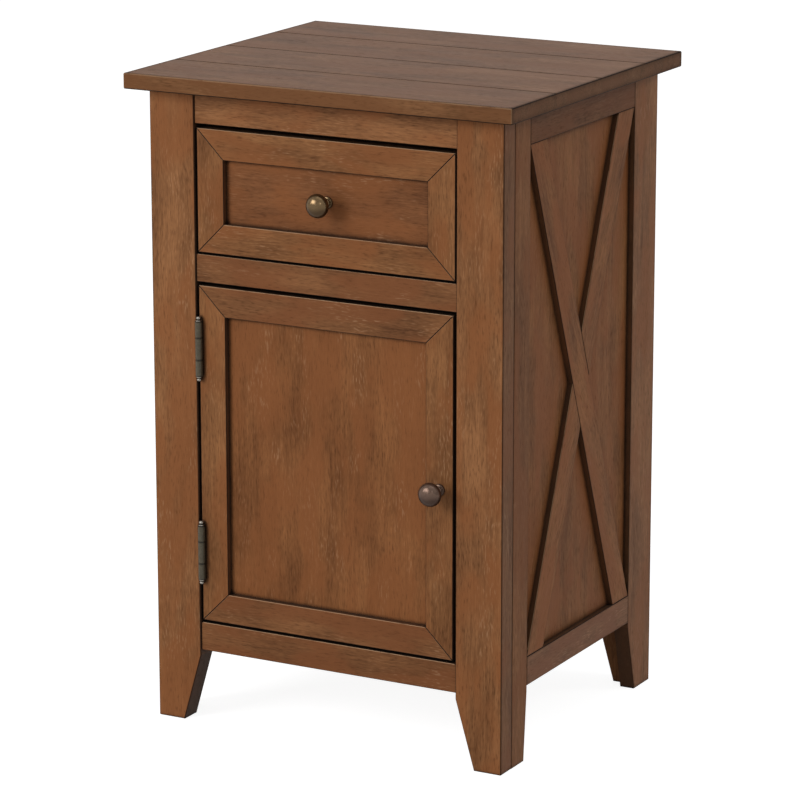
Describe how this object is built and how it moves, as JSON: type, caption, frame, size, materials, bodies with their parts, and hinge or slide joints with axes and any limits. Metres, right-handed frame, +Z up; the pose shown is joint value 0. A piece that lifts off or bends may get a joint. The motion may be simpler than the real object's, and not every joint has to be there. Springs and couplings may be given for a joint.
{
  "type": "storage side table with door",
  "caption": "Rustic wooden side table with a grooved plank top, crossed side braces, a drawer above and a hinged door below, with round metal knobs.",
  "frame": {"origin": "on the floor, under the middle of the whole object's box, knobs included", "axes": "+Z up, +X to the right as seen from the front, -Y out of the front with the drawer and the door"},
  "size_m": [0.457, 0.413, 0.711],
  "materials": {
    "wood_top": "stained walnut brown, satin lacquer, lightly worn edges",
    "wood_legs": "stained walnut brown, satin lacquer, lightly worn edges",
    "wood_rails": "stained walnut brown, satin lacquer, lightly worn edges",
    "wood_frames": "stained walnut brown, satin lacquer, dark glaze in the joints",
    "wood_panels": "stained walnut brown veneer, satin lacquer",
    "wood_braces": "stained walnut brown, satin lacquer, dark glaze in the joints",
    "wood_inside": "stained brown board, matt",
    "wood_drawer_box": "clear-lacquered pale wood",
    "knob_brass": "antique brass, brushed back on the crown",
    "knob_bronze": "dark oil-rubbed bronze",
    "hinge_metal": "dark gunmetal, slightly worn",
    "slide_steel": "zinc plated",
    "screw_steel": "zinc plated",
    "catch_plastic": "brown moulded plastic"
  },
  "bodies": {
    "cabinet": {"top_panel": "wood_top", "front_leg_left": "wood_legs", "front_leg_right": "wood_legs", "side_stile_front_left": "wood_legs", "side_stile_front_right": "wood_legs", "side_stile_rear_left": "wood_legs", "side_stile_rear_right": "wood_legs", "back_leg_board_left": "wood_legs", "back_leg_board_right": "wood_legs", "front_top_rail": "wood_rails", "front_mid_rail": "wood_rails", "front_bottom_rail": "wood_rails", "side_top_rail_left": "wood_rails", "side_top_rail_right": "wood_rails", "side_bottom_rail_left": "wood_rails", "side_bottom_rail_right": "wood_rails", "back_top_rail": "wood_rails", "back_bottom_rail": "wood_rails", "side_panel_left": "wood_panels", "side_panel_right": "wood_panels", "brace_long_left": "wood_braces", "brace_long_right": "wood_braces", "brace_short_left": "wood_braces", "brace_short_right": "wood_braces", "floor_panel": "wood_inside", "divider_panel": "wood_inside", "shelf": "wood_inside", "back_panel": "wood_inside", "top_cleats": "wood_inside", "slide_mounts": "wood_inside", "hinge_leg_leaves": "hinge_metal", "hinge_pins": "hinge_metal", "hinge_leg_screws": "hinge_metal", "slide_cabinet_members": "slide_steel", "shelf_pins": "slide_steel", "top_screws": "screw_steel", "catch_body": "catch_plastic"},
    "slide_middle": {"slide_middle_members": "slide_steel"},
    "drawer": {"drawer_frame_top": "wood_frames", "drawer_frame_bottom": "wood_frames", "drawer_frame_left": "wood_frames", "drawer_frame_right": "wood_frames", "drawer_panel": "wood_panels", "drawer_side_left": "wood_drawer_box", "drawer_side_right": "wood_drawer_box", "drawer_back": "wood_drawer_box", "drawer_bottom": "wood_drawer_box", "slide_drawer_members": "slide_steel", "drawer_knob": "knob_brass", "drawer_knob_screw": "screw_steel"},
    "door": {"door_frame_top": "wood_frames", "door_frame_bottom": "wood_frames", "door_frame_left": "wood_frames", "door_frame_right": "wood_frames", "door_panel": "wood_panels", "door_knob": "knob_bronze", "door_knob_screw": "screw_steel", "hinge_door_leaves": "hinge_metal", "hinge_door_screws": "hinge_metal", "door_strike": "screw_steel"}
  },
  "joints": [
    {"name": "drawer_slide", "type": "slide", "parent": "cabinet", "child": "drawer", "axis": [0, -1, 0], "range_m": [0, 0.28]},
    {"name": "slide_middle_travel", "type": "slide", "parent": "cabinet", "child": "slide_middle", "axis": [0, -1, 0], "range_m": [0, 0.14]},
    {"name": "door_hinge", "type": "hinge", "parent": "cabinet", "child": "door", "pos_m": [-0.1513, -0.1807, 0.3], "axis": [0, 0, -1], "range_deg": [0, 180]}
  ],
  "couplings": [
    {"joint": "slide_middle_travel", "follows": "drawer_slide", "ratio": 0.5}
  ]
}
